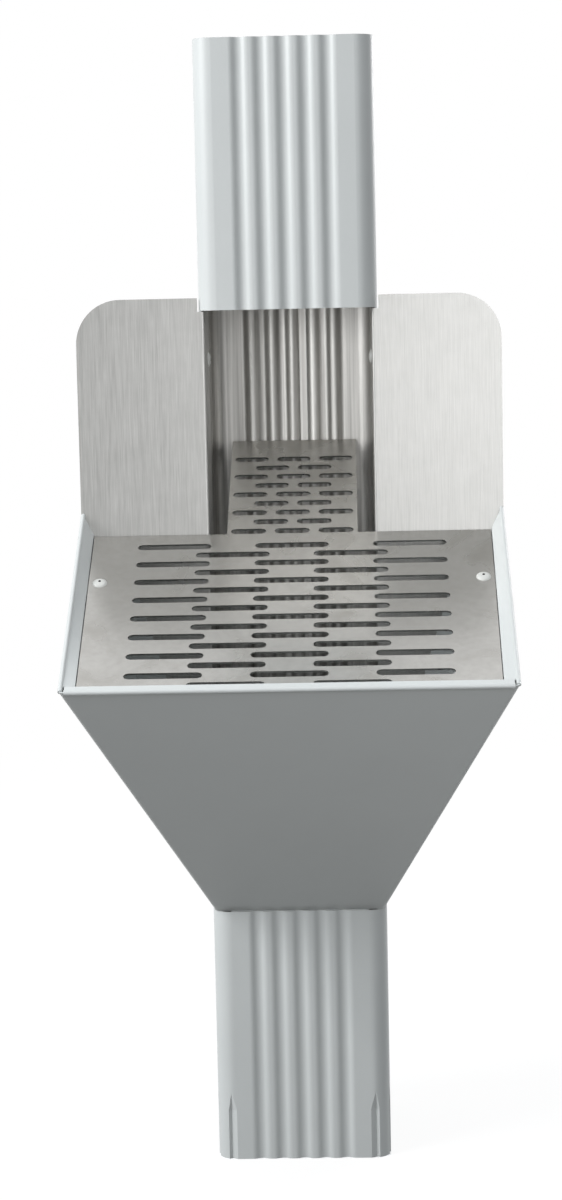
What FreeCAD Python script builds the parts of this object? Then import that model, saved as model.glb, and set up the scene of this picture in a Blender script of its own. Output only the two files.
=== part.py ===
"""Downpipe leaf filter: a fluted square downpipe with a window in its front, a folded hopper that
catches the water, two wings that close the hopper's back beside the pipe, and a slotted plate on
which leaves slide off.

Millimetres, +Z up. The origin is the centre of the pipe's outlet, in the plane of its lower end.
The front, where the leaves fall off, faces -Y.
"""
import math
import os

import FreeCAD
import Part
from FreeCAD import Placement, Rotation, Vector

# Pipe: a roll-formed square tube, fluted on all four faces, with a crimped lower end
pipe_width = 76.0
pipe_height = 485.0
pipe_wall = 0.6
corner_radius = 8.0
groove_count = 5
groove_pitch = pipe_width * 0.1224
groove_half_width = groove_pitch * 0.45
groove_depth = 1.3
crimp_height = 31.0
crimp_fade = 9.0
crease_depth = 1.5
crease_half_width = 2.3
crease_from_side = 6.2
seam_width = 3.2
seam_height = 0.9

# Window in the front of the pipe
window_bottom = 111.4
window_top = 371.7

# Wings: flat sheets beside the pipe, with a flange that turns back into it
sheet = 0.6
wing_setback = 4.2
wing_half_span = 90.5
wing_top = 377.0
wing_corner_radius = 19.0
flange_margin = 6.0
flange_bend = 0.5
flange_clearance = 0.05
notch_clearance = 0.5

# Filter plate: slopes down to the front, with a tongue that reaches the back of the pipe
plate_thickness = 0.8
plate_slope = 27.2
plate_height = 276.5
plate_gap_back = 5.5
plate_gap_front = 6.8
plate_run = 115.0
plate_corner = 2.0
plate_clearance = 0.2
tongue_half_width = 28.0

# Slots of the plate: rows of three and two by turns, with round ends
slot_width = 4.0
slot_end_sides = 4
slot_length = 31.4
slot_column = 25.0
slot_pitch = 6.7
slot_first = 10.0
slot_rows = 16
tongue_slot_length = 15.2
tongue_slot_column = 9.4
tongue_slot_pitch = 7.5
tongue_slot_first = 1.4
tongue_slot_rows = 9

# Hopper: one folded sheet, with a front, two sides, a rolled lip over the plate, rims turned in to
# the plate's edges, and a tab into the pipe
hopper_fold_radius = 1.5
hopper_foot_half = 37.2
rim_height = 9.1
rim_roll = 0.9
return_gap = 0.35
return_rise = 0.5
lip_width = 4.2
lip_clearance = 1.0
lip_roll = 1.1
lip_roll_inset = 0.7
lip_corner_gap = 2.4
rear_flange = 12.0
tab_height = 12.0
tab_clearance = 0.1
tab_half_width = 30.0

# Brackets that carry the plate on the hopper's sides
bracket_sheet = 1.2
bracket_length = 16.0
bracket_foot = 12.0
bracket_leg = 11.0

# Blind rivets, with few sides because they are small and many
rivet_sides = 12
rivet_head_radius = 3.1
rivet_crown_radius = 1.9
rivet_head_height = 1.2
rivet_radius = 1.6
rivet_bulb_radius = 2.3
rivet_bulb_height = 1.8
rivet_clearance = 0.05
plate_rivet_inset = 10.5
plate_rivet_run = 37.0
wing_rivet_heights = (190.0, 350.5)
hopper_rivet_heights = (165.0, 238.0)
bracket_rivet_drop = 7.0

# Planes that several pieces share
half = pipe_width / 2
wing_front = -half + wing_setback
wing_back = wing_front + sheet
bore_half = half - pipe_wall
ridge_half = bore_half - groove_depth
flange_face = ridge_half - flange_clearance
wing_rivet_y = -groove_pitch * (groove_count - 2) / 2
slope = math.radians(plate_slope)
downhill = Vector(0, -math.cos(slope), -math.sin(slope))
plate_up = Vector(0, -math.sin(slope), math.cos(slope))
plate_origin = Vector(0, wing_front, plate_height)
plate_half_back = wing_half_span - plate_gap_back
plate_half_front = wing_half_span - plate_gap_front
plate_rivet_x = wing_half_span - plate_rivet_inset
space = 2 * pipe_height


def plate_point(x, run, above=0.0):
    """A point over the filter plate: across, down the slope from the wings, and off its top face."""
    return plate_origin + Vector(x, 0, 0) + downhill * run + plate_up * above


def trim(shape, point, outward):
    """Cut away all of a shape that lies past a plane, on the side its outward normal points to."""
    reach = 4 * space
    block = Part.makeBox(reach, reach, reach, Vector(-reach / 2, -reach / 2, 0))
    block.Placement = Placement(point, Rotation(Vector(0, 0, 1), outward))
    return shape.cut(block)


def between(planes):
    """The convex solid inside a list of planes, each a point and an outward normal."""
    solid = Part.makeBox(2 * space, 2 * space, 2 * space, Vector(-space, -space, -space))
    for point, outward in planes:
        solid = trim(solid, point, outward)
    return solid


def mirrored(shape):
    """The same piece on the other side of the middle plane."""
    return shape.mirror(Vector(0, 0, 0), Vector(1, 0, 0))


def ring(radius, height):
    """A closed ring of straight sides round the Z axis."""
    turns = [2 * math.pi * step / rivet_sides for step in range(rivet_sides)]
    points = [Vector(radius * math.cos(turn), radius * math.sin(turn), height) for turn in turns]
    return Part.makePolygon(points + points[:1])


def rivet(seat, outward, grip, hole_only=False):
    """A blind rivet set through sheets of a given grip, or the hole that it fills.

    The seat is the point on the face under the head, and outward points from there to the head.
    """
    if hole_only:
        rim = ring(rivet_radius + rivet_clearance, sheet)
        body = Part.Face(rim).extrude(Vector(0, 0, -grip - 2 * sheet))
    else:
        tail = -grip - rivet_bulb_height
        crown = ring(rivet_crown_radius, rivet_head_height)
        head = Part.makeLoft([ring(rivet_head_radius, 0), crown], True, True)
        shank = Part.Face(ring(rivet_radius, 0)).extrude(Vector(0, 0, -grip))
        bulb = Part.makeLoft([ring(rivet_bulb_radius, -grip), ring(rivet_radius, tail)], True, True)
        body = head.fuse([shank, bulb]).removeSplitter()
    body.Placement = Placement(seat, Rotation(Vector(0, 0, 1), outward))
    return body


# Downpipe
def groove(centre, level, inset):
    """One pressed groove of a pipe face, as three arcs tangent to the flats beside it.

    Centre is its place along the face, level the height of the flats before the wall's inset.
    """
    bend = (groove_half_width ** 2 + groove_depth ** 2) / (4 * groove_depth)
    left = Vector(centre - groove_half_width, level - bend, 0)
    middle = Vector(centre, level - groove_depth + bend, 0)
    across = (middle - left).normalize()
    outer_bend = bend - inset
    join = left + across * outer_bend
    mirror_join = Vector(2 * centre - join.x, join.y, 0)
    lean = math.atan2(across.x, across.y) / 2
    near = left + Vector(math.sin(lean), math.cos(lean), 0) * outer_bend
    mirror_near = Vector(2 * centre - near.x, near.y, 0)
    bottom = Vector(centre, level - groove_depth - inset, 0)
    start = Vector(centre - groove_half_width, level - inset, 0)
    end = Vector(centre + groove_half_width, level - inset, 0)
    return [(start, near, join), (join, bottom, mirror_join), (mirror_join, mirror_near, end)]


def pipe_profile(inset):
    """The fluted square outline at the lower end, inset from the pipe's skin by part of its wall."""
    flat_end = half - corner_radius
    level = half - inset
    segments = []
    cursor = Vector(-flat_end, level, 0)
    for index in range(groove_count):
        pieces = groove(groove_pitch * (index - (groove_count - 1) / 2), half, inset)
        segments.append((cursor, pieces[0][0]))
        segments += pieces
        cursor = pieces[-1][-1]
    segments.append((cursor, Vector(flat_end, level, 0)))
    diagonal = flat_end + (corner_radius - inset) * math.sqrt(0.5)
    segments.append((Vector(flat_end, level, 0), Vector(diagonal, diagonal, 0), Vector(level, flat_end, 0)))
    edges = []
    for quarter in range(4):
        for points in segments:
            edge = Part.LineSegment(*points) if len(points) == 2 else Part.Arc(*points)
            edge = edge.toShape()
            edge.rotate(Vector(0, 0, 0), Vector(0, 0, 1), -90 * quarter)
            edges.append(edge)
    return Part.Wire(edges)


def crimp_creases(inset):
    """The V creases beside each corner: straight up from the lower end, then fading to a point."""
    straight = crimp_height - crimp_fade
    creases = []
    for side in (-1, 1):
        place = side * (half - crease_from_side)
        level = half - inset
        mouth = level + crease_depth
        spread = 2 * crease_half_width
        corners = [Vector(place - spread, mouth, 0), Vector(place, level - crease_depth, 0),
                   Vector(place + spread, mouth, 0)]
        outline = Part.makePolygon(corners + corners[:1])
        prism = Part.Face(outline).extrude(Vector(0, 0, straight))
        outline.translate(Vector(0, 0, straight))
        tip = Part.Vertex(Vector(place, mouth, straight + 2 * crimp_fade))
        crease = prism.fuse(Part.makeLoft([outline, tip], True, True))
        for quarter in range(4):
            turned = crease.copy()
            turned.rotate(Vector(0, 0, 0), Vector(0, 0, 1), 90 * quarter)
            creases.append(turned)
    return creases


def make_downpipe():
    """The tube with its creases, the lock seam down the inside of its back, and the window cut out."""
    skin, bore = [Part.Face(pipe_profile(inset)).extrude(Vector(0, 0, pipe_height))
                  for inset in (0, pipe_wall)]
    skin = skin.cut(crimp_creases(0))
    bore = bore.cut(crimp_creases(pipe_wall))
    tube = skin.cut(bore)
    seam_x = groove_pitch / 2
    tube = tube.fuse(Part.makeBox(seam_width, seam_height + pipe_wall / 2, pipe_height - crimp_height,
                                  Vector(seam_x - seam_width / 2, bore_half - seam_height, crimp_height)))
    opening = Part.makeBox(2 * pipe_width, pipe_width, window_top - window_bottom,
                           Vector(-pipe_width, wing_back - pipe_width, window_bottom))
    tube = tube.cut([opening] + wing_rivets(hole_only=True))
    return tube.removeSplitter()


# Hopper
def hopper_foot():
    """The right-hand lower corner of the front panel, where it passes into the pipe."""
    return Vector(hopper_foot_half, -ridge_half + tab_clearance, window_bottom)


def hopper_lip():
    """The right-hand end of the fold where the front panel turns over the plate's lower edge.

    The front panel climbs from its foot, passes the plate's edge with a clearance, and ends in the
    plane of the lip, which lies over the plate.
    """
    foot = hopper_foot()
    edge = plate_point(0, plate_run, -plate_thickness)
    reach = math.hypot(edge.y - foot.y, edge.z - foot.z)
    lean = math.atan2(edge.z - foot.z, foot.y - edge.y) - math.asin((sheet + plate_clearance) / reach)
    climb = Vector(0, -math.cos(lean), math.sin(lean))
    fold = plate_point(0, 0, lip_clearance + sheet)
    lip = foot + climb * ((fold - foot).dot(plate_up) / climb.dot(plate_up))
    return Vector(wing_half_span, lip.y, lip.z)


def hopper_planes():
    """The front and right-hand side planes of the hopper, and the plane of its rim."""
    lip = hopper_lip()
    rim_back = Vector(wing_half_span, wing_front, plate_height + rim_height)
    foot = hopper_foot()
    up_corner = lip - foot
    front = (foot, Vector(1, 0, 0).cross(up_corner).normalize() * -1)
    side = (foot, up_corner.cross(rim_back - lip).normalize())
    rim = (lip, Vector(1, 0, 0).cross(rim_back - lip).normalize())
    if front[1].y > 0:
        front = (front[0], front[1] * -1)
    if side[1].x < 0:
        side = (side[0], side[1] * -1)
    if rim[1].z < 0:
        rim = (rim[0], rim[1] * -1)
    return {"front": front, "side": side, "rim": rim}


def flipped(plane):
    """The same plane on the other side of the middle plane."""
    point, outward = plane
    return Vector(-point.x, point.y, point.z), Vector(-outward.x, outward.y, outward.z)


def inset_plane(plane, depth):
    """A plane moved inwards, against its outward normal."""
    point, outward = plane
    return point - outward * depth, outward


def hopper_hull(front_inset, side_inset, rim_raise=0.0, back_y=None, bottom_z=None):
    """The space inside the hopper's walls, with each kind of wall moved inwards."""
    planes = hopper_planes()
    right = inset_plane(planes["side"], side_inset)
    back = wing_front if back_y is None else back_y
    bottom = window_bottom if bottom_z is None else bottom_z
    return between([inset_plane(planes["front"], front_inset), right, flipped(right),
                    inset_plane(planes["rim"], -rim_raise),
                    (Vector(0, back, 0), Vector(0, 1, 0)),
                    (Vector(0, 0, bottom), Vector(0, 0, -1))])


def fold_corners(hull, radius):
    """Round the two long edges where the front panel turns into the sides."""
    planes = hopper_planes()
    along = planes["front"][1].cross(planes["side"][1]).normalize()
    across = Vector(-along.x, along.y, along.z)
    nearly_parallel = 0.999
    folds = []
    for edge in hull.Edges:
        run = (edge.Vertexes[1].Point - edge.Vertexes[0].Point).normalize()
        if max(abs(run.dot(along)), abs(run.dot(across))) > nearly_parallel:
            folds.append(edge)
    return hull.makeFillet(radius, folds)


def rim_point(y):
    """The point of the right-hand rim at a given depth."""
    lip = hopper_lip()
    climb = (plate_height + rim_height - lip.z) / (wing_front - lip.y)
    return Vector(wing_half_span, y, lip.z + (y - lip.y) * climb)


def rim_return_section(y):
    """The right-hand rim's inward strip, cut across: from inside the rim down to the plate's edge."""
    run = (wing_front - y) / math.cos(slope)
    plate_edge = plate_half_back + (plate_half_front - plate_half_back) * run / plate_run
    outer = rim_point(y) - Vector(rim_roll, 0, 0)
    inner = plate_point(plate_edge + return_gap, run) + Vector(0, 0, return_rise)
    fall = (inner - outer).normalize()
    under = Vector(-fall.z, 0, fall.x) * sheet
    corners = [outer, inner, inner + under, outer + under]
    return Part.makePolygon(corners + corners[:1])


def right_rim():
    """The right-hand rim: a rounded fold, and the strip that twists as it runs down beside the plate."""
    lip = hopper_lip()
    front_end = lip.y + lip_width
    strip = Part.makeLoft([rim_return_section(wing_front), rim_return_section(front_end)], True, True)
    drop = Vector(-rim_roll, 0, -rim_roll / 2)
    start = rim_point(lip.y + lip_roll) + drop
    run = rim_point(wing_front + rim_roll) + drop - start
    fold = Part.makeCylinder(rim_roll, run.Length, start, run)
    return [strip, trim(fold, Vector(0, wing_front, 0), Vector(0, 1, 0))]


def rolled_lip(front):
    """The front panel's upper edge: a rounded fold, and the strip that lies over the plate's edge."""
    lip = hopper_lip()
    reach = wing_half_span - lip_corner_gap
    strip = between([(lip, plate_up), (lip - plate_up * sheet, plate_up * -1),
                     (Vector(0, lip.y + lip_width * math.cos(slope), 0), Vector(0, 1, 0)),
                     (Vector(reach, 0, 0), Vector(1, 0, 0)),
                     (Vector(-reach, 0, 0), Vector(-1, 0, 0)),
                     inset_plane(front, sheet / 2)])
    inward = (front[1] + plate_up).normalize() * -lip_roll_inset
    fold = Part.makeCylinder(lip_roll, 2 * reach, Vector(-reach, lip.y, lip.z) + inward, Vector(1, 0, 0))
    return [strip, fold]


def make_hopper():
    """Front and sides as one folded wall, with the lip, rims, rear flanges and the tab."""
    outer = fold_corners(hopper_hull(0, 0), hopper_fold_radius + sheet)
    hollow = fold_corners(hopper_hull(sheet, sheet, rim_height, half, 0), hopper_fold_radius)
    body = outer.cut(hollow)
    for piece in rolled_lip(hopper_planes()["front"]):
        body = body.fuse(piece)
    for piece in right_rim():
        body = body.fuse([piece, mirrored(piece)])

    flanges = trim(outer, Vector(0, wing_front - sheet, 0), Vector(0, -1, 0))
    flanges = flanges.cut(hopper_hull(-sheet, rear_flange, rim_height, half, 0))
    way_in = flange_face - sheet
    flanges = flanges.cut(Part.makeBox(2 * way_in, pipe_width, window_top, Vector(-way_in, -pipe_width, 0)))
    flange_top = plate_point(0, 0, -plate_thickness - plate_clearance)
    body = body.fuse(trim(flanges, flange_top, plate_up))

    tab_front = -ridge_half + tab_clearance
    tab = Part.makeBox(2 * tab_half_width, sheet, tab_height + sheet,
                       Vector(-tab_half_width, tab_front, window_bottom - tab_height))
    body = body.fuse(tab)
    for hole in hopper_rivets(hole_only=True) + bracket_rivets(hole_only=True):
        body = body.cut(hole)
    return body.removeSplitter()


# Wings
def make_right_wing():
    """A sheet in front of the pipe's cut edge, tapered to the hopper, with a flange into the pipe."""
    side = hopper_planes()["side"]
    inner = flange_face - sheet
    bottom = window_bottom + notch_clearance
    top_inside = window_top - notch_clearance
    panel = Part.makeBox(wing_half_span - half, sheet, wing_top - bottom, Vector(half, wing_front, bottom))
    corner = [edge for edge in panel.Edges
              if edge.Vertexes[0].X > wing_half_span - sheet and edge.Vertexes[1].X > wing_half_span - sheet
              and min(vertex.Z for vertex in edge.Vertexes) > wing_top - sheet]
    panel = panel.makeFillet(wing_corner_radius, corner)

    outer_turn = flange_bend + sheet
    centre = Vector(inner + outer_turn, wing_front + outer_turn, bottom)

    def arc(radius):
        cut = radius * math.sqrt(0.5)
        return Part.Arc(centre + Vector(-radius, 0, 0), centre + Vector(-cut, -cut, 0),
                        centre + Vector(0, -radius, 0)).toShape()

    tip = wing_rivet_y + flange_margin
    straight = [Vector(half, wing_back, bottom), Vector(half, wing_front, bottom)]
    flange_end = [Vector(inner, tip, bottom), Vector(flange_face, tip, bottom)]
    edges = [arc(outer_turn), arc(flange_bend),
             Part.makeLine(centre + Vector(0, -outer_turn, 0), straight[1]),
             Part.makeLine(straight[1], straight[0]),
             Part.makeLine(straight[0], centre + Vector(0, -flange_bend, 0)),
             Part.makeLine(centre + Vector(-flange_bend, 0, 0), flange_end[1]),
             Part.makeLine(flange_end[1], flange_end[0]),
             Part.makeLine(flange_end[0], centre + Vector(-outer_turn, 0, 0))]
    bent = Part.Face(Part.Wire(Part.__sortEdges__(edges))).extrude(Vector(0, 0, top_inside - bottom))
    notch = Part.makeBox(notch_clearance, 2 * sheet, wing_top - top_inside + sheet,
                         Vector(half, wing_front - sheet / 2, top_inside))
    wing = panel.cut(notch).fuse(bent)
    return trim(wing.removeSplitter(), side[0], side[1])


# Filter plate
def slot(x, run, length):
    """A round-ended slot through the plate, lying across it."""
    radius = slot_width / 2
    reach = length / 2 - radius
    rim = []
    for centre, start in ((reach, -90), (-reach, 90)):
        for step in range(slot_end_sides + 1):
            angle = math.radians(start + 180 * step / slot_end_sides)
            rim.append(Vector(centre + radius * math.cos(angle), radius * math.sin(angle), 0))
    cutter = Part.Face(Part.makePolygon(rim + rim[:1])).extrude(Vector(0, 0, -3 * plate_thickness))
    cutter.Placement = Placement(plate_point(x, run, plate_thickness), Rotation(Vector(1, 0, 0), plate_slope))
    return cutter


def slot_rows_across(rows, first, pitch, column, length, direction):
    """Rows of three and two slots by turns, from the wings down or up the slope."""
    slots = []
    for row in range(rows):
        places = (-2, 0, 2) if row % 2 == 0 else (-1, 1)
        for place in places:
            slots.append(slot(place * column, direction * (first + row * pitch), length))
    return slots


def make_filter_plate():
    """The slotted plate in front of the wings, and its tongue between them to the back wall."""
    set_back = plate_thickness * math.sin(slope) + plate_clearance
    tongue_end = -(ridge_half - wing_front - set_back) / math.cos(slope)
    back_run = set_back / math.cos(slope)
    corners = [(-tongue_half_width, tongue_end), (tongue_half_width, tongue_end),
               (tongue_half_width, back_run), (plate_half_back, back_run),
               (plate_half_front, plate_run), (-plate_half_front, plate_run),
               (-plate_half_back, back_run), (-tongue_half_width, back_run)]
    outline = [plate_point(x, run) for x, run in corners]
    blank = Part.Face(Part.makePolygon(outline + outline[:1])).extrude(plate_up * -plate_thickness)
    front_corners = [edge for edge in blank.Edges
                     if abs(edge.Length - plate_thickness) < plate_thickness / 100
                     and edge.CenterOfMass.y < plate_point(0, plate_run / 2).y]
    blank = blank.makeFillet(plate_corner, front_corners)
    cutters = slot_rows_across(slot_rows, slot_first, slot_pitch, slot_column, slot_length, 1)
    cutters += slot_rows_across(tongue_slot_rows, tongue_slot_first, tongue_slot_pitch,
                                tongue_slot_column, tongue_slot_length, -1)
    return blank.cut(cutters + plate_rivets(hole_only=True))


# Brackets
def make_right_bracket():
    """An angle under the plate's edge: its foot carries the plate, its leg lies on the hopper's side."""
    side = hopper_planes()["side"]
    under = plate_point(0, plate_rivet_run, -plate_thickness)
    ends = [(plate_point(0, plate_rivet_run + bracket_length / 2), downhill),
            (plate_point(0, plate_rivet_run - bracket_length / 2), downhill * -1),
            inset_plane(side, sheet), (under, plate_up)]
    foot = between(ends + [(under - plate_up * bracket_sheet, plate_up * -1),
                           (Vector(plate_rivet_x - bracket_foot / 2, 0, 0), Vector(-1, 0, 0))])
    back_of_leg = inset_plane(side, sheet + bracket_sheet)
    leg = between(ends + [(under - plate_up * bracket_leg, plate_up * -1),
                          (back_of_leg[0], back_of_leg[1] * -1)])
    bracket = foot.fuse(leg)
    for hole in plate_rivets(hole_only=True) + bracket_rivets(hole_only=True):
        bracket = bracket.cut(hole)
    return bracket.removeSplitter()


# Rivets
def plate_rivets(hole_only=False):
    """Two rivets through the plate and the brackets' feet, heads on top."""
    grip = plate_thickness + bracket_sheet
    return [rivet(plate_point(side * plate_rivet_x, plate_rivet_run), plate_up, grip, hole_only)
            for side in (-1, 1)]


def wing_rivets(hole_only=False):
    """Four rivets through the wings' flanges and the pipe's sides, heads inside.

    They stand on the flats between the first two grooves, where their tails have room outside.
    """
    inner_face = flange_face - sheet
    grip = half - inner_face
    return [rivet(Vector(side * inner_face, wing_rivet_y, height), Vector(-side, 0, 0), grip, hole_only)
            for side in (-1, 1) for height in wing_rivet_heights]


def hopper_rivets(hole_only=False):
    """Four rivets through the wings and the hopper's rear flanges, heads behind the wings."""
    side = hopper_planes()["side"]
    normal = side[1]
    rivets = []
    for height in hopper_rivet_heights:
        edge = side[0].x - (normal.y * (wing_front - side[0].y) + normal.z * (height - side[0].z)) / normal.x
        place = edge - rear_flange / 2 / normal.x
        for hand in (-1, 1):
            seat = Vector(hand * place, wing_back, height)
            rivets.append(rivet(seat, Vector(0, 1, 0), 2 * sheet, hole_only))
    return rivets


def bracket_rivets(hole_only=False):
    """Two rivets through the hopper's sides and the brackets' legs, heads outside."""
    side = hopper_planes()["side"]
    middle = plate_point(0, plate_rivet_run, -plate_thickness - bracket_rivet_drop)
    normal = side[1]
    across = side[0].x - (normal.y * (middle.y - side[0].y) + normal.z * (middle.z - side[0].z)) / normal.x
    rivets = []
    for hand in (-1, 1):
        seat = Vector(hand * across, middle.y, middle.z)
        outward = Vector(hand * normal.x, normal.y, normal.z)
        rivets.append(rivet(seat, outward, sheet + bracket_sheet, hole_only))
    return rivets


right_wing = make_right_wing()
for hole in wing_rivets(hole_only=True) + hopper_rivets(hole_only=True):
    right_wing = right_wing.cut(hole)
right_bracket = make_right_bracket()

nodes = {
    "downpipe": make_downpipe(),
    "hopper": make_hopper(),
    "left_wing": mirrored(right_wing),
    "right_wing": right_wing,
    "filter_plate": make_filter_plate(),
    "left_bracket": mirrored(right_bracket),
    "right_bracket": right_bracket,
    "plate_rivets": Part.makeCompound(plate_rivets()),
    "wing_rivets": Part.makeCompound(wing_rivets()),
    "hopper_rivets": Part.makeCompound(hopper_rivets()),
    "bracket_rivets": Part.makeCompound(bracket_rivets()),
}

os.makedirs("parts", exist_ok=True)
for name, shape in nodes.items():
    shape.exportStep("parts/" + name + ".step")
    print(name, "solids", len(shape.Solids), "valid", shape.isValid(), "volume", round(shape.Volume, 1))
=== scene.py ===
import math

import bpy
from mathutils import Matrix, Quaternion, Vector


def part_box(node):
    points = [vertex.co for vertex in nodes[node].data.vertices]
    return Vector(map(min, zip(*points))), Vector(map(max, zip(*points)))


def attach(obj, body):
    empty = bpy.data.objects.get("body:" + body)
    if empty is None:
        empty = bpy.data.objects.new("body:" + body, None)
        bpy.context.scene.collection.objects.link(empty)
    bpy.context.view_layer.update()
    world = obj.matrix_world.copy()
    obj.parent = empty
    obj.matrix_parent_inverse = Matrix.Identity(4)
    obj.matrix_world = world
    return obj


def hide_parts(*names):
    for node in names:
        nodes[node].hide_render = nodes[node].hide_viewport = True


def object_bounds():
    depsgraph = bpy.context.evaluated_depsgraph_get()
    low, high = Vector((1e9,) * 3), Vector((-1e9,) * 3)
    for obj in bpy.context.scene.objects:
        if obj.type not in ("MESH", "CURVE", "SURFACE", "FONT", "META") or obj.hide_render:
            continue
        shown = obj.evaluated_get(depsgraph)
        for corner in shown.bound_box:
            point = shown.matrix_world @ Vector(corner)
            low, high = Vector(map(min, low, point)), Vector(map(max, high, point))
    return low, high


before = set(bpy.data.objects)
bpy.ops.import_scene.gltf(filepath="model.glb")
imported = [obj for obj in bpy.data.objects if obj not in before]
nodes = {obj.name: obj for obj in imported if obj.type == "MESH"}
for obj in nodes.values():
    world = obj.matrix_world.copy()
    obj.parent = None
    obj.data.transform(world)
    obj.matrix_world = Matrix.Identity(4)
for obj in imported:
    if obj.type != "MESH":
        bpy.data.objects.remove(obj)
cad_box = [[float(value) for value in corner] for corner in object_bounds()]


# Downpipe. A square tube roll-formed from coil-painted aluminium strip, fluted on every face and
# lock-seamed down the back. The paint is on the outside only: inside and on its cut ends it is bare.
def linear(hex_colour):
    """An sRGB hex colour as linear RGBA."""
    values = [int(hex_colour[place:place + 2], 16) / 255 for place in (1, 3, 5)]
    return [v / 12.92 if v <= 0.04045 else ((v + 0.055) / 1.055) ** 2.4 for v in values] + [1.0]


def wire(tree, node, inputs):
    """Set a node's inputs to values, or link them to the outputs of other nodes."""
    for socket, value in inputs.items():
        if isinstance(value, bpy.types.NodeSocket):
            tree.links.new(value, node.inputs[socket])
        else:
            node.inputs[socket].default_value = value


def add(tree, kind, inputs, **settings):
    """Add a node with its settings, and set or link its inputs."""
    node = tree.nodes.new(kind)
    for name, value in settings.items():
        setattr(node, name, value)
    wire(tree, node, inputs)
    return node


def new_material(name):
    """A node material with its tree, its surface shader and its texture coordinates."""
    material = bpy.data.materials.new(name)
    material.use_nodes = True
    tree = material.node_tree
    shader = tree.nodes["Principled BSDF"]
    place = add(tree, "ShaderNodeTexCoord", {})
    return material, tree, shader, place


def per_mm(size):
    """The noise scale that draws features of a size in millimetres."""
    return 1000 / size


def give(node, material):
    """Put a finish on a node of the frame."""
    for slot in nodes[node].material_slots:
        slot.material = material


# The sockets of a colour mix: its share and its two colours come in, and the mixed colour goes out
mix_share, mix_from, mix_to, mixed = 0, 6, 7, 2

# Satin coil paint: cool pale grey, even, with slight clouding and a fine orange peel
paint_light, paint_dark = linear("#CED2D2"), linear("#C5C9C9")
cloud_mm, cloud_detail = 40.0, 3.0
peel_mm, peel_detail = 1.4, 2.0
peel_strength, peel_height = 0.06, 0.0004


def coil_paint(tree, place):
    """The clouding, the clouded colour and the orange peel of the paint, as nodes."""
    cloud = add(tree, "ShaderNodeTexNoise", {"Vector": place.outputs["Object"], "Scale": per_mm(cloud_mm),
                                             "Detail": cloud_detail})
    paint = add(tree, "ShaderNodeMix", {mix_share: cloud.outputs["Fac"], mix_from: paint_dark,
                                        mix_to: paint_light}, data_type="RGBA")
    peel = add(tree, "ShaderNodeTexNoise", {"Vector": place.outputs["Object"], "Scale": per_mm(peel_mm),
                                            "Detail": peel_detail})
    bump = add(tree, "ShaderNodeBump", {"Height": peel.outputs["Fac"], "Strength": peel_strength,
                                        "Distance": peel_height})
    return cloud, paint, bump


# Bare inner face: drawn aluminium, a little duller than the paint, with long dark water streaks
bare_light, bare_dark = linear("#DDDCD9"), linear("#9A9996")
streak_width_mm, streak_length_mm = 3.0, 260.0
streak_detail, streak_roughness = 4.0, 0.6
streak_low, streak_high = 0.32, 0.62
paint_rough, bare_rough = 0.38, 0.42
inside_margin = 0.001

pipe_finish, tree, shader, place = new_material("coil_painted_aluminium_pipe")
_, paint, bump = coil_paint(tree, place)
stretch = add(tree, "ShaderNodeMapping", {"Vector": place.outputs["Object"],
                                          "Scale": (per_mm(streak_width_mm), per_mm(streak_width_mm),
                                                    per_mm(streak_length_mm))})
streak = add(tree, "ShaderNodeTexNoise", {"Vector": stretch.outputs["Vector"], "Scale": 1.0,
                                          "Detail": streak_detail, "Roughness": streak_roughness})
streak_band = add(tree, "ShaderNodeMapRange", {"Value": streak.outputs["Fac"], "From Min": streak_low,
                                               "From Max": streak_high})
bare = add(tree, "ShaderNodeMix", {mix_share: streak_band.outputs["Result"], mix_from: bare_dark,
                                   mix_to: bare_light}, data_type="RGBA")

# The inner face is where the surface looks towards the pipe's axis
across = add(tree, "ShaderNodeVectorMath", {0: place.outputs["Normal"], 1: (1, 1, 0)}, operation="MULTIPLY")
outward = add(tree, "ShaderNodeVectorMath", {0: across.outputs["Vector"], 1: place.outputs["Object"]},
              operation="DOT_PRODUCT")
inside = add(tree, "ShaderNodeMath", {0: outward.outputs["Value"], 1: inside_margin}, operation="LESS_THAN")
colour = add(tree, "ShaderNodeMix", {mix_share: inside.outputs["Value"], mix_from: paint.outputs[mixed],
                                     mix_to: bare.outputs[mixed]}, data_type="RGBA")
rough = add(tree, "ShaderNodeMix", {"Factor": inside.outputs["Value"], "A": paint_rough, "B": bare_rough})
wire(tree, shader, {"Base Color": colour.outputs[mixed], "Metallic": inside.outputs["Value"],
                    "Roughness": rough.outputs["Result"], "Normal": bump.outputs["Normal"]})
give("downpipe", pipe_finish)


# Wings and brackets. Flat stainless sheet, cut and bent, left bare with its brushed grain upright.
# The wings close the hopper's back beside the pipe, and their flanges are riveted inside it.
# The grain gives fine upright lines and a soft sheen, and is drawn coarser than life so that it shows.
sheet_light, sheet_dark = linear("#C3C3C1"), linear("#AAAAA8")
grain_width_mm, grain_length_mm, grain_detail = 0.4, 14.0, 3.0
grain_strength, grain_height = 0.12, 0.0002
mottle_mm, mottle_detail, mottle_share = 6.0, 4.0, 0.2
shade_low, shade_high = 0.22, 0.78
noise_low, noise_high = 0.3, 0.7
sheet_rough_least, sheet_rough_most = 0.4, 0.45

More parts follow.
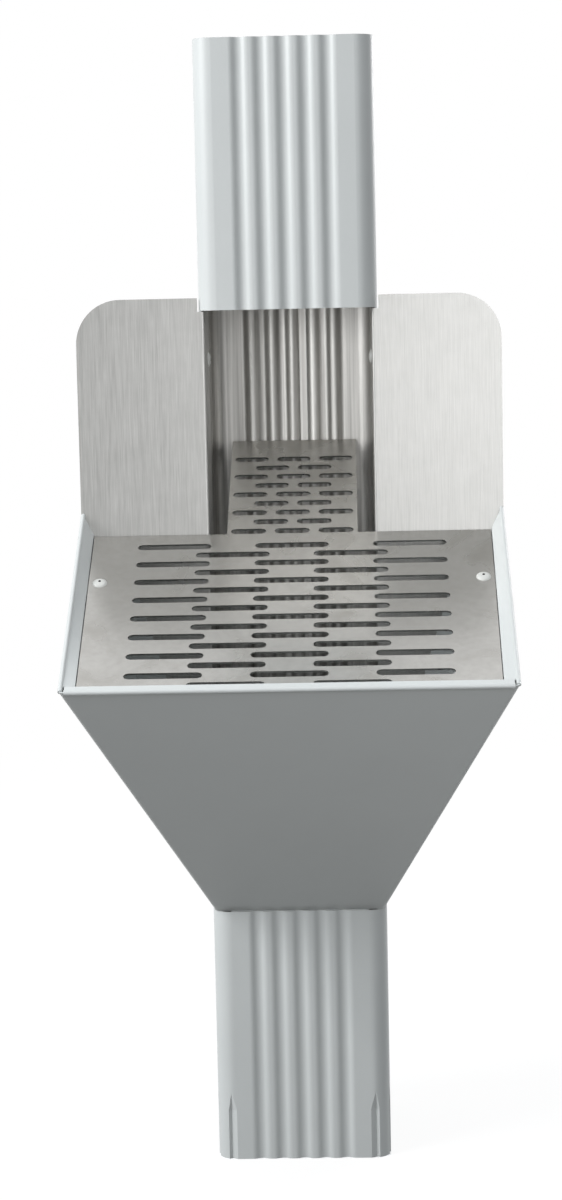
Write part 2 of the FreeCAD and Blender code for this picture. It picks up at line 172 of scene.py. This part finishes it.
sheet_finish, tree, shader, place = new_material("brushed_stainless_sheet")
lines = add(tree, "ShaderNodeMapping", {"Vector": place.outputs["Object"],
                                        "Scale": (per_mm(grain_width_mm), per_mm(grain_width_mm),
                                                  per_mm(grain_length_mm))})
grain = add(tree, "ShaderNodeTexNoise", {"Vector": lines.outputs["Vector"], "Scale": 1.0,
                                         "Detail": grain_detail})
mottle = add(tree, "ShaderNodeTexNoise", {"Vector": place.outputs["Object"], "Scale": per_mm(mottle_mm),
                                          "Detail": mottle_detail})
blend = add(tree, "ShaderNodeMix", {"Factor": mottle_share, "A": grain.outputs["Fac"],
                                    "B": mottle.outputs["Fac"]})
shade = add(tree, "ShaderNodeMapRange", {"Value": blend.outputs["Result"], "From Min": shade_low,
                                         "From Max": shade_high})
colour = add(tree, "ShaderNodeMix", {mix_share: shade.outputs["Result"], mix_from: sheet_dark,
                                     mix_to: sheet_light}, data_type="RGBA")
rough = add(tree, "ShaderNodeMapRange", {"Value": grain.outputs["Fac"], "From Min": noise_low,
                                         "From Max": noise_high, "To Min": sheet_rough_least,
                                         "To Max": sheet_rough_most})
bump = add(tree, "ShaderNodeBump", {"Height": grain.outputs["Fac"], "Strength": grain_strength,
                                    "Distance": grain_height})
wire(tree, shader, {"Base Color": colour.outputs[mixed], "Metallic": 1.0,
                    "Roughness": rough.outputs["Result"], "Normal": bump.outputs["Normal"]})
for node in ("left_wing", "right_wing", "left_bracket", "right_bracket"):
    give(node, sheet_finish)


# Hopper. One coil-painted sheet folded into a front and two sides, with rims turned in to the plate's
# edges, a rolled lip over the plate's lower edge, and a tab that drops into the pipe.
# Its paint is the pipe's, with a gloss that varies slightly with the clouding.
hopper_rough_least, hopper_rough_most = 0.33, 0.4

hopper_finish, tree, shader, place = new_material("coil_painted_sheet")
cloud, paint, bump = coil_paint(tree, place)
rough = add(tree, "ShaderNodeMapRange", {"Value": cloud.outputs["Fac"], "From Min": noise_low,
                                         "From Max": noise_high, "To Min": hopper_rough_least,
                                         "To Max": hopper_rough_most})
wire(tree, shader, {"Base Color": paint.outputs[mixed], "Roughness": rough.outputs["Result"],
                    "Normal": bump.outputs["Normal"]})
give("hopper", hopper_finish)


# Filter plate. Stainless sheet with punched slots, sloped so that leaves slide off its lower edge,
# riveted to the brackets. Its mill finish is a warm grey half mirror, with faint dried water stains.
plate_light, plate_dark, stain_tint = linear("#CFCECB"), linear("#BFBEBB"), linear("#A5A39D")
plate_mottle_mm, plate_detail = 3.0, 4.0
plate_strength, plate_height = 0.08, 0.0002
stain_mm, stain_detail, stain_warp = 34.0, 5.0, 0.6
stain_start, stain_full, stain_depth = 0.53, 0.68, 0.45
plate_rough_least, plate_rough_most = 0.2, 0.3

plate_finish, tree, shader, place = new_material("mill_finish_stainless_plate")
mottle = add(tree, "ShaderNodeTexNoise", {"Vector": place.outputs["Object"],
                                          "Scale": per_mm(plate_mottle_mm), "Detail": plate_detail})
metal = add(tree, "ShaderNodeMix", {mix_share: mottle.outputs["Fac"], mix_from: plate_dark,
                                    mix_to: plate_light}, data_type="RGBA")
stain = add(tree, "ShaderNodeTexNoise", {"Vector": place.outputs["Object"], "Scale": per_mm(stain_mm),
                                         "Detail": stain_detail, "Distortion": stain_warp})
stain_edge = add(tree, "ShaderNodeMapRange", {"Value": stain.outputs["Fac"], "From Min": stain_start,
                                              "From Max": stain_full, "To Max": stain_depth})
colour = add(tree, "ShaderNodeMix", {mix_share: stain_edge.outputs["Result"], mix_from: metal.outputs[mixed],
                                     mix_to: stain_tint}, data_type="RGBA")
rough = add(tree, "ShaderNodeMapRange", {"Value": stain.outputs["Fac"], "From Min": noise_low,
                                         "From Max": noise_high, "To Min": plate_rough_least,
                                         "To Max": plate_rough_most})
bump = add(tree, "ShaderNodeBump", {"Height": mottle.outputs["Fac"], "Strength": plate_strength,
                                    "Distance": plate_height})
wire(tree, shader, {"Base Color": colour.outputs[mixed], "Metallic": 1.0,
                    "Roughness": rough.outputs["Result"], "Normal": bump.outputs["Normal"]})
give("filter_plate", plate_finish)


# Rivets. Aluminium blind rivets with low domed heads, painted white. Each head has a pit in the middle,
# over the broken end of its steel mandrel, and the pit is painted near black as painted shade in the hole.
head_radius, head_height = 0.0031, 0.0012
shank_radius, bulb_radius, bulb_height = 0.0016, 0.0023, 0.0018
pit_radius, pit_depth, pit_margin = 0.0006, 0.0007, 1.01
dome_degrees = (0, 15, 30, 45, 60, 72)
rivet_sides = 32
sharp_edge = math.radians(40)

# White rivet paint: soft gloss with a fine uneven skin
rivet_white = linear("#CDCECB")
speck_mm, speck_detail = 0.8, 2.0
speck_strength, speck_height = 0.1, 0.0002
rivet_rough_least, rivet_rough_most = 0.3, 0.45

rivet_finish, tree, shader, place = new_material("white_rivet_paint")
speck = add(tree, "ShaderNodeTexNoise", {"Vector": place.outputs["Object"], "Scale": per_mm(speck_mm),
                                         "Detail": speck_detail})
rough = add(tree, "ShaderNodeMapRange", {"Value": speck.outputs["Fac"], "To Min": rivet_rough_least,
                                         "To Max": rivet_rough_most})
bump = add(tree, "ShaderNodeBump", {"Height": speck.outputs["Fac"], "Strength": speck_strength,
                                    "Distance": speck_height})
wire(tree, shader, {"Base Color": rivet_white, "Roughness": rough.outputs["Result"],
                    "Normal": bump.outputs["Normal"]})

# Broken mandrel: torn steel, part oxide and part metal, at the pit's floor. The near black of the pit's
# floor and walls is painted shade in the hole.
pit_steel_and_shade, pit_metallic = linear("#2B2B2A"), 0.6
torn_mm = 0.3
pit_rough_least, pit_rough_most = 0.4, 0.8

pit_steel_and_shade_finish, tree, shader, place = new_material("mandrel_steel_and_painted_pit_shade")
torn = add(tree, "ShaderNodeTexNoise", {"Vector": place.outputs["Object"], "Scale": per_mm(torn_mm)})
rough = add(tree, "ShaderNodeMapRange", {"Value": torn.outputs["Fac"], "To Min": pit_rough_least,
                                         "To Max": pit_rough_most})
wire(tree, shader, {"Base Color": pit_steel_and_shade, "Metallic": pit_metallic, "Roughness": rough.outputs["Result"]})


def turned_rivet(name, grip):
    """One rivet at the origin, head up, drawn ring by ring from its tail to the pit in its head."""
    dome = [(head_radius * math.cos(angle), head_height * math.sin(angle))
            for angle in [math.radians(step) for step in dome_degrees]]
    tail = -grip - bulb_height
    rings = [(bulb_radius, -grip - bulb_height / 2), (bulb_radius, -grip), (shank_radius, -grip),
             (shank_radius, 0.0)]
    rings += dome
    rings += [(pit_radius, head_height), (pit_radius, head_height - pit_depth)]
    bpy.ops.object.select_all(action="DESELECT")
    bpy.ops.mesh.primitive_circle_add(vertices=rivet_sides, radius=shank_radius, fill_type="NGON",
                                      location=(0, 0, tail))
    piece = bpy.context.object
    piece.name = name
    bpy.ops.object.transform_apply(location=True, rotation=True, scale=True)
    bpy.ops.object.mode_set(mode="EDIT")
    bpy.ops.mesh.select_all(action="SELECT")
    bpy.ops.mesh.flip_normals()
    radius, height = shank_radius, tail
    for next_radius, next_height in rings:
        bpy.ops.mesh.extrude_region_move(TRANSFORM_OT_translate={"value": (0, 0, next_height - height)})
        scale = next_radius / radius
        bpy.ops.transform.resize(value=(scale, scale, 1), center_override=(0, 0, next_height))
        radius, height = next_radius, next_height
    bpy.ops.mesh.select_all(action="SELECT")
    bpy.ops.mesh.normals_make_consistent(inside=False)
    bpy.ops.object.mode_set(mode="OBJECT")
    piece.data.materials.append(rivet_finish)
    piece.data.materials.append(pit_steel_and_shade_finish)
    # The pit's walls and floor take the near-black finish: painted shade in the hole, over the mandrel's
    # steel at its floor
    for face in piece.data.polygons:
        in_pit = all(Vector(piece.data.vertices[corner].co[:2]).length < pit_radius * pit_margin
                     for corner in face.vertices)
        face.material_index = 1 if in_pit and face.center.z > 0 else 0
    bpy.ops.object.shade_smooth_by_angle(angle=sharp_edge)
    return piece


def set_rivets(name, grip, seats):
    """Copies of one rivet, each at its seat with its head along an axis, as one piece."""
    copies = [turned_rivet(name, grip)]
    while len(copies) < len(seats):
        bpy.ops.object.duplicate(linked=False)
        copies.append(bpy.context.object)
    for piece, (seat, axis) in zip(copies, seats):
        bpy.ops.object.select_all(action="DESELECT")
        piece.select_set(True)
        bpy.context.view_layer.objects.active = piece
        piece.location = seat
        piece.rotation_mode = "QUATERNION"
        piece.rotation_quaternion = Vector((0, 0, 1)).rotation_difference(axis)
        bpy.ops.object.transform_apply(location=True, rotation=True, scale=True)
    for piece in copies:
        piece.select_set(True)
    bpy.context.view_layer.objects.active = copies[0]
    bpy.ops.object.join()
    copies[0].name = name
    return copies[0]


def face_normal(node, facing):
    """The normal of the largest face of a node among those that look about one way."""
    about_same = 0.9
    towards = Vector(facing).normalized()
    faces = [face for face in nodes[node].data.polygons if face.normal.dot(towards) > about_same]
    return max(faces, key=lambda face: face.area).normal.copy()


def rivet_seats(node, right_axis):
    """The seat of each rivet of a node under its head, and its axis, mirrored on the left side."""
    rivet_reach, crown_margin = 0.012, 0.00001
    solids = []
    for vertex in nodes[node].data.vertices:
        near = [solid for solid in solids if (vertex.co - solid[0]).length < rivet_reach]
        if near:
            near[0].append(vertex.co.copy())
        else:
            solids.append([vertex.co.copy()])
    seats = []
    for solid in solids:
        axis = Vector((math.copysign(1, solid[0].x) * right_axis.x, right_axis.y, right_axis.z))
        top = max(point.dot(axis) for point in solid)
        crown = [point for point in solid if top - point.dot(axis) < crown_margin]
        middle = Vector([(min(values) + max(values)) / 2 for values in zip(*crown)])
        seats.append((middle - axis * head_height, axis))
    return seats


# For each set, the thickness that its rivets hold, and the way that the heads on the right side look
plate_up = face_normal("filter_plate", (0, -1, 2))
hopper_side = face_normal("hopper", (2, 0, -1))
rivet_sets = {
    "plate": (0.0020, plate_up),
    "wing": (0.00255, Vector((-1, 0, 0))),
    "hopper": (0.0012, Vector((0, 1, 0))),
    "bracket": (0.0018, hopper_side),
}
for holder, (grip, axis) in rivet_sets.items():
    heads = set_rivets(holder + "_rivet_heads", grip, rivet_seats(holder + "_rivets", axis))
    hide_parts(holder + "_rivets")
    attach(heads, "root")


# Studio. A pale floor that fades into a white surround, a broad key light from the upper left, a soft one
# behind, small ones for the right wing's sheen, the window and the pipe's mouth, and two cards.
def white_for_view(tree, dim, white):
    """A colour that is white to the camera and in reflections, and dimmer as light on the object."""
    path = add(tree, "ShaderNodeLightPath", {})
    seen = add(tree, "ShaderNodeMath", {0: path.outputs["Is Camera Ray"], 1: path.outputs["Is Glossy Ray"]},
               operation="MAXIMUM")
    seen = add(tree, "ShaderNodeMath", {0: seen.outputs["Value"], 1: path.outputs["Is Transmission Ray"]},
               operation="MAXIMUM")
    tint = add(tree, "ShaderNodeMix", {mix_share: seen.outputs["Value"], mix_from: dim, mix_to: white},
               data_type="RGBA")
    return tint, seen


white, fill_grey, floor_grey = linear("#FFFFFF"), linear("#D4D7DA"), linear("#4E4E4C")
floor_size = 30.0
fade_start, fade_end = 0.25, 1.0
glow_near, glow_far = 0.86, 1.0
foot_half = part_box("downpipe")[1][0]
bpy.ops.object.select_all(action="DESELECT")
bpy.ops.mesh.primitive_plane_add(size=floor_size, location=(0, 0, cad_box[0][2]))
floor = bpy.context.object
floor.name = "floor"
floor_finish, tree, shader, place = new_material("pale_floor")
tree.nodes.remove(shader)
tint, seen = white_for_view(tree, floor_grey, white)
matt = add(tree, "ShaderNodeBsdfDiffuse", {"Color": tint.outputs[mixed]})
glow = add(tree, "ShaderNodeEmission", {"Color": white})

# Near the object the glow leaves room for its shadow
away = add(tree, "ShaderNodeVectorMath", {0: place.outputs["Object"]}, operation="LENGTH")
fade = add(tree, "ShaderNodeMapRange", {"Value": away.outputs["Value"], "From Min": fade_start,
                                        "From Max": fade_end, "To Min": glow_near, "To Max": glow_far})
share = add(tree, "ShaderNodeMath", {0: seen.outputs["Value"], 1: fade.outputs["Result"]},
            operation="MULTIPLY")

# No glow inside the pipe's foot, which would show as white through the slots
sideways = add(tree, "ShaderNodeVectorMath", {0: place.outputs["Object"]}, operation="ABSOLUTE")
sides = add(tree, "ShaderNodeSeparateXYZ", {"Vector": sideways.outputs["Vector"]})
spread = add(tree, "ShaderNodeMath", {0: sides.outputs["X"], 1: sides.outputs["Y"]}, operation="MAXIMUM")
clear = add(tree, "ShaderNodeMath", {0: spread.outputs["Value"], 1: foot_half}, operation="GREATER_THAN")
share = add(tree, "ShaderNodeMath", {0: share.outputs["Value"], 1: clear.outputs["Value"]},
            operation="MULTIPLY")
both = add(tree, "ShaderNodeMixShader", {0: share.outputs["Value"], 1: matt.outputs["BSDF"],
                                         2: glow.outputs["Emission"]})
wire(tree, tree.nodes["Material Output"], {"Surface": both.outputs["Shader"]})
floor.data.materials.append(floor_finish)

world = bpy.data.worlds.new("white_surround")
bpy.context.scene.world = world
world.use_nodes = True
tint, seen = white_for_view(world.node_tree, fill_grey, white)
wire(world.node_tree, world.node_tree.nodes["Background"], {"Color": tint.outputs[mixed]})


def softbox(name, place, target, size, power):
    """A square area light at a place, turned to a target, that the camera doesn't see."""
    bpy.ops.object.light_add(type="AREA", location=place)
    lamp = bpy.context.object
    lamp.name = name
    lamp.data.size = size
    lamp.data.energy = power
    lamp.rotation_euler = (Vector(target) - Vector(place)).to_track_quat("-Z", "Y").to_euler()
    lamp.visible_camera = False
    return lamp


def flag(lamp, node, state):
    """Shade a lamp so that it lights a node alone (INCLUDE) or all but that node (EXCLUDE)."""
    shade = bpy.data.collections.new(lamp.name + "_flag")
    shade.objects.link(nodes[node])
    shade.collection_objects[0].light_linking.link_state = state
    lamp.light_linking.receiver_collection = shade


part_middle, foot_middle = (0, -0.03, 0.27), (0, 0, 0)
right_sheet, window_middle = (0.065, -0.034, 0.31), (0, 0, 0.33)
softbox("key_left", place=(-0.92, -0.52, 0.85), target=part_middle, size=0.65, power=12.5)
softbox("soft_behind", place=(1.0, 1.3, 1.0), target=part_middle, size=1.0, power=16)
sheen_right = softbox("sheen_right", place=(0.2, -0.65, 0.36), target=right_sheet, size=0.4, power=1.1)
flag(sheen_right, "downpipe", "EXCLUDE")
window_left = softbox("window_left", place=(-0.24, -0.85, 0.4), target=window_middle, size=0.3, power=1.3)
flag(window_left, "downpipe", "INCLUDE")
softbox("over_mouth", place=(0, -0.005, 0.53), target=foot_middle, size=0.07, power=0.016)


def card(name, place, turn, width, height, colour):
    """An upright matt card, out of the camera's sight, that the bare metal reflects."""
    bpy.ops.object.select_all(action="DESELECT")
    bpy.ops.mesh.primitive_plane_add(size=1, location=place, rotation=(math.pi / 2, 0, turn))
    sheet = bpy.context.object
    sheet.name = name
    sheet.scale = (width, height, 1)
    bpy.ops.object.transform_apply(location=True, rotation=True, scale=True)
    finish, tree, shader, _ = new_material(name)
    wire(tree, shader, {"Base Color": linear(colour), "Roughness": 1.0})
    sheet.data.materials.append(finish)
    sheet.visible_camera = False


card("dark_card_right", place=(0.53, -0.72, 0.45), turn=math.radians(35), width=0.55, height=0.9,
     colour="#4A4A4A")
card("pale_card_left", place=(-0.33, -1.25, 0.4), turn=0, width=0.66, height=0.8, colour="#808080")


# Camera. It stands about a metre in front, a little to the right and above the middle, looking
# slightly down, and leans by about a degree.
image_height = 1200
focal_pixels = 2475.5
sensor_height = 36.0
camera_place = Vector((0.0271, -1.0911, 0.3738))
camera_target = Vector((-0.0065, 0, 0.2433))
camera_roll = -0.0214
bpy.ops.object.camera_add(location=camera_place)
camera = bpy.context.object
camera.data.sensor_fit = "VERTICAL"
camera.data.sensor_height = sensor_height
camera.data.lens = focal_pixels * sensor_height / image_height
camera.rotation_mode = "QUATERNION"
aim = (camera_target - camera_place).to_track_quat("-Z", "Y")
camera.rotation_quaternion = aim @ Quaternion((0, 0, 1), camera_roll)
bpy.context.scene.camera = camera
bpy.context.scene.view_settings.view_transform = "Standard"
